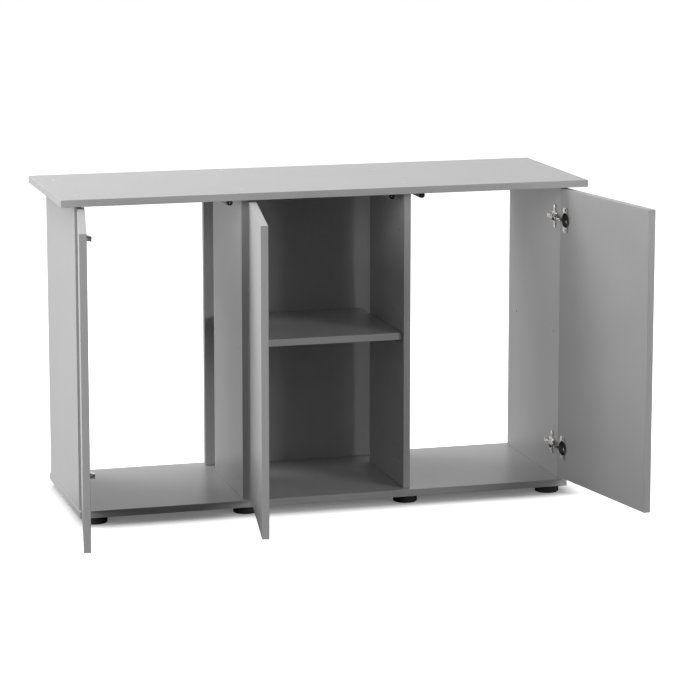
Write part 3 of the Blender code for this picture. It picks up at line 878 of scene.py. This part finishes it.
class STAND_OT_feet(StandOperator, bpy.types.Operator):
    """Build the round feet and the screws in their recesses"""

    bl_idname = "stand.feet"
    bl_label = "Build Feet"
    recess = 4 * MM

    def execute(self, context):
        groove = context.scene.stand_fittings.foot_groove
        screw = screw_head(4.4 * MM, 1.4 * MM)
        for column in ("far_left", "mid_left", "mid_right", "far_right"):
            for row in ("front", "rear"):
                stem = f"{row}_{column}_foot"
                low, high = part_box(stem)
                middle = (low + high) / 2
                place = Matrix.Translation((middle.x, middle.y, 0))
                write(stem + "_turned", moved(self.foot(groove, high.z), place),
                      black_plastic(), "cabinet", "foot_plastic", stem)
                under = place @ Matrix.Translation((0, 0, self.recess)) @ Matrix.Rotation(
                    math.pi, 4, "X")
                write(stem + "_screw", moved(screw.copy(), under), bright_zinc(), "cabinet",
                      "nickel")
        screw.free()
        return {"FINISHED"}

    def foot(self, groove, top):
        """A solid disc: eased rim, a groove under its top lip, and a ringed underside."""
        wide = 27.5 * MM
        profile = [(0, top), (wide - 0.5 * MM, top), (wide, top - 0.5 * MM), (wide, top - 3 * MM),
                   (wide - groove, top - 3.6 * MM), (wide - groove, top - 4.8 * MM),
                   (wide, top - 5.4 * MM), (wide, 3 * MM), (wide - 0.5 * MM, 1.3 * MM),
                   (wide - 1.6 * MM, 0.3 * MM), (wide - 2.6 * MM, 0), (20 * MM, 0),
                   (19.4 * MM, 0.6 * MM), (17 * MM, 0.6 * MM), (16.4 * MM, 0), (8.6 * MM, 0),
                   (8 * MM, 0.6 * MM), (8 * MM, self.recess), (0, self.recess)]
        return turned(profile, 64)


class STAND_OT_pins(StandOperator, bpy.types.Operator):
    """Build the four shelf pins"""

    bl_idname = "stand.pins"
    bl_label = "Build Shelf Pins"
    half_bay = 180 * MM

    def execute(self, context):
        out, inside = 9 * MM, 9 * MM
        profile = [(0, out), (2.9 * MM, out), (3.5 * MM, out - 0.6 * MM), (3.5 * MM, 1.4 * MM),
                   (3.3 * MM, 0.4 * MM), (2.3 * MM, 0.3 * MM), (2.3 * MM, -inside + 0.7 * MM),
                   (1.7 * MM, -inside), (0, -inside)]
        for side, name in ((-1, "left"), (1, "right")):
            for row in ("front", "rear"):
                node = f"{row}_{name}_shelf_pin"
                low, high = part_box(node)
                middle = (low + high) / 2
                place = Matrix.Translation((side * self.half_bay, middle.y, middle.z))
                place = place @ Matrix.Rotation(-side * QUARTER, 4, "Y")
                write(node + "_turned", moved(turned(profile, 32), place), black_plastic(),
                      "cabinet", "black_plastic", node)
        return {"FINISHED"}


class STAND_OT_caps(StandOperator, bpy.types.Operator):
    """Build the cover caps over the bolts in the top"""

    bl_idname = "stand.caps"
    bl_label = "Build Top Caps"
    # millimetres out from the middle, and back from the front edge of the top
    spots = ((561, 73), (561, 335), (188, 73), (188, 302), (160, 380))

    def execute(self, context):
        dome = context.scene.stand_fittings.cap_dome
        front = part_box("top_panel")[0].y
        wide = 4.85 * MM
        skin = 0.05 * MM
        profile = [(0, -skin), (0.5 * wide, -skin - 0.25 * dome), (0.85 * wide, -skin - 0.7 * dome),
                   (wide, -skin - dome - 0.2 * MM), (wide, -3.6 * MM), (0, -3.6 * MM)]
        for number, (across, back) in enumerate(self.spots):
            for side, hand in (("left", -1), ("right", 1)):
                place = Matrix.Translation((hand * across * MM, front + back * MM, TOP))
                write(f"{side}_top_cap_{number + 1}", moved(turned(profile, 40), place),
                      cap_plastic(), "cabinet", "latch_plastic")
        return {"FINISHED"}


class STAND_OT_stage(StandOperator, bpy.types.Operator):
    """Lay the floor, hang the lights and set up the camera"""

    bl_idname = "stand.stage"
    bl_label = "Set Stage"
    floor_half = 14.0
    # below zero, so that the painted glow never fades fully out and the floor right under the cabinet
    # isn't fully dark
    fade_from = -0.02
    # how far back the floor starts to show white in reflections, and where it is fully white
    gleam_from, gleam_to = 0.0, 0.4
    aim = Vector((0, 0, 0.35))
    # where each softbox hangs, and its width and height
    softboxes = {
        "top_light": ((0.0, 1.5, 3.1), (4.0, 2.6)),
        "left_light": ((-2.2, 1.0, 2.9), (2.0, 2.0)),
        "front_left_light": ((-3.1, -1.8, 1.2), (2.0, 1.8)),
        "rear_left_light": ((-2.4, 2.8, 1.4), (2.6, 2.0)),
        "right_light": ((2.6, -2.6, 1.2), (1.8, 1.6)),
    }

    def execute(self, context):
        settings = context.scene.stand_stage
        self.floor(settings)
        self.room(context, settings)
        for key, (place, size) in self.softboxes.items():
            self.softbox(key.replace("light", "softbox"), place, size, getattr(settings, key))
        self.camera(context, settings)
        context.scene.view_settings.view_transform = "Standard"
        context.scene.view_settings.look = "None"
        return {"FINISHED"}

    def floor(self, settings):
        """A pale matt floor, made white by a painted glow beyond the shadow at the cabinet's foot; the
        glow fades out near the cabinet, so the shadow there is real but its soft edge is painted
        shade.
        """
        shape = bmesh.new()
        bmesh.ops.create_grid(shape, x_segments=2, y_segments=2, size=self.floor_half)
        mesh = bpy.data.meshes.new("studio_floor")
        shape.to_mesh(mesh)
        shape.free()
        ground = bpy.data.objects.new("studio_floor", mesh)
        bpy.context.scene.collection.objects.link(ground)
        made, tree, shader = new_material("pale_floor")
        shader.inputs["Base Color"].default_value = (*settings.floor, 1.0)
        shader.inputs["Roughness"].default_value = 1.0
        shader.inputs["Specular IOR Level"].default_value = 0.0
        shader.inputs["Emission Strength"].default_value = 1.0
        where = step(tree, "ShaderNodeTexCoord").outputs["Object"]
        low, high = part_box("bottom_panel")
        middle, half = (low + high) / 2, (high - low) / 2
        offset = step(tree, "ShaderNodeVectorMath", {0: where, 1: (middle.x, middle.y, 0)},
                      operation="SUBTRACT").outputs[0]
        offset = step(tree, "ShaderNodeVectorMath", {0: offset}, operation="ABSOLUTE").outputs[0]
        beyond = step(tree, "ShaderNodeVectorMath", {0: offset, 1: (half.x, half.y, 0)},
                      operation="SUBTRACT").outputs[0]
        beyond = step(tree, "ShaderNodeVectorMath", {0: beyond, 1: (0, 0, 0)},
                      operation="MAXIMUM").outputs[0]
        away = step(tree, "ShaderNodeVectorMath", {0: beyond}, operation="LENGTH").outputs["Value"]
        # painted light: the floor glows white to the camera, faded out close to the cabinet so the
        # real shadow shows there; the fade is painted shade
        painted_floor_glow = spread(tree, away, self.fade_from, settings.contact, 0.0, 1.0)
        tree.links.new(step(tree, "ShaderNodeCombineColor", {0: painted_floor_glow, 1: painted_floor_glow, 2: painted_floor_glow}).outputs[0],
                       shader.inputs["Emission Color"])
        path = step(tree, "ShaderNodeLightPath").outputs
        back = spread(tree, step(tree, "ShaderNodeSeparateXYZ", {0: where}).outputs["Y"],
                      self.gleam_from, self.gleam_to)
        strength = math_node(tree, "MULTIPLY_ADD", path["Is Glossy Ray"],
                             math_node(tree, "MULTIPLY", back, settings.gleam),
                             math_node(tree, "MULTIPLY", path["Is Diffuse Ray"], settings.bounce))
        thrown = step(tree, "ShaderNodeEmission", {"Color": (1, 1, 1, 1), "Strength": strength})
        mix = step(tree, "ShaderNodeMixShader", {
            0: path["Is Camera Ray"], 1: thrown.outputs[0], 2: shader.outputs[0]})
        tree.links.new(mix.outputs[0], tree.nodes["Material Output"].inputs["Surface"])
        mesh.materials.append(made)

    def room(self, context, settings):
        """White to the camera and in reflections, and a dim even fill for the rest."""
        world = bpy.data.worlds.new("studio_room")
        context.scene.world = world
        world.use_nodes = True
        tree = world.node_tree
        tree.nodes.clear()
        path = step(tree, "ShaderNodeLightPath").outputs
        ahead = step(tree, "ShaderNodeSeparateXYZ",
                     {0: step(tree, "ShaderNodeTexCoord").outputs["Generated"]}).outputs["Y"]
        strength = math_node(tree, "MULTIPLY_ADD", path["Is Glossy Ray"],
                             math_node(tree, "MULTIPLY", spread(tree, ahead, -0.2, 0.2),
                                       settings.gleam), path["Is Camera Ray"])
        strength = math_node(tree, "MULTIPLY_ADD", path["Is Diffuse Ray"], settings.fill, strength)
        room = step(tree, "ShaderNodeBackground", {"Color": (1, 1, 1, 1), "Strength": strength})
        step(tree, "ShaderNodeOutputWorld", {"Surface": room.outputs[0]})

    def softbox(self, name, place, size, power):
        """A rectangular soft light aimed at the middle of the cabinet."""
        lamp = bpy.data.lights.new(name, "AREA")
        lamp.shape = "RECTANGLE"
        lamp.size, lamp.size_y = size
        lamp.energy = power
        thing = bpy.data.objects.new(name, lamp)
        thing.location = place
        thing.rotation_euler = (self.aim - Vector(place)).to_track_quat("-Z", "Y").to_euler()
        thing.visible_camera = False
        bpy.context.scene.collection.objects.link(thing)

    def camera(self, context, settings):
        """The camera, turned and tilted about its own place."""
        data = bpy.data.cameras.new("studio_camera")
        data.sensor_width = 36
        data.lens = settings.lens
        data.shift_y = settings.rise
        data.clip_end = 100
        thing = bpy.data.objects.new("studio_camera", data)
        thing.location = settings.eye
        thing.rotation_euler = (QUARTER - settings.tilt, 0, -settings.heading)
        context.scene.collection.objects.link(thing)
        context.scene.camera = thing


OPERATORS = (STAND_OT_stage, STAND_OT_boards, STAND_OT_doors, STAND_OT_plates, STAND_OT_arms,
             STAND_OT_links, STAND_OT_cups, STAND_OT_latches, STAND_OT_feet, STAND_OT_pins,
             STAND_OT_caps)


class STAND_PT_panel(bpy.types.Panel):
    """The cabinet's tools in the sidebar"""

    bl_idname = "STAND_PT_panel"
    bl_label = "Aquarium Stand"
    bl_space_type = "VIEW_3D"
    bl_region_type = "UI"
    bl_category = "Stand"

    def draw(self, context):
        for settings in (context.scene.stand_finish, context.scene.stand_fittings,
                         context.scene.stand_stage):
            box = self.layout.box()
            for key in settings.__annotations__:
                box.prop(settings, key)
        for tool in OPERATORS:
            self.layout.operator(tool.bl_idname)


def register():
    for kind in SETTINGS + OPERATORS + (STAND_PT_panel,):
        bpy.utils.register_class(kind)
    bpy.types.Scene.stand_finish = PointerProperty(type=StandFinish)
    bpy.types.Scene.stand_fittings = PointerProperty(type=StandFittings)
    bpy.types.Scene.stand_stage = PointerProperty(type=StandStage)


def unregister():
    del bpy.types.Scene.stand_stage
    del bpy.types.Scene.stand_fittings
    del bpy.types.Scene.stand_finish
    for kind in reversed(SETTINGS + OPERATORS + (STAND_PT_panel,)):
        bpy.utils.unregister_class(kind)


def main():
    """Runs every tool in turn."""
    register()
    for tool in OPERATORS:
        group_name, call = tool.bl_idname.split(".")
        if getattr(getattr(bpy.ops, group_name), call)() != {"FINISHED"}:
            raise RuntimeError(tool.bl_label + " did not finish")


if __name__ == "__main__":
    main()
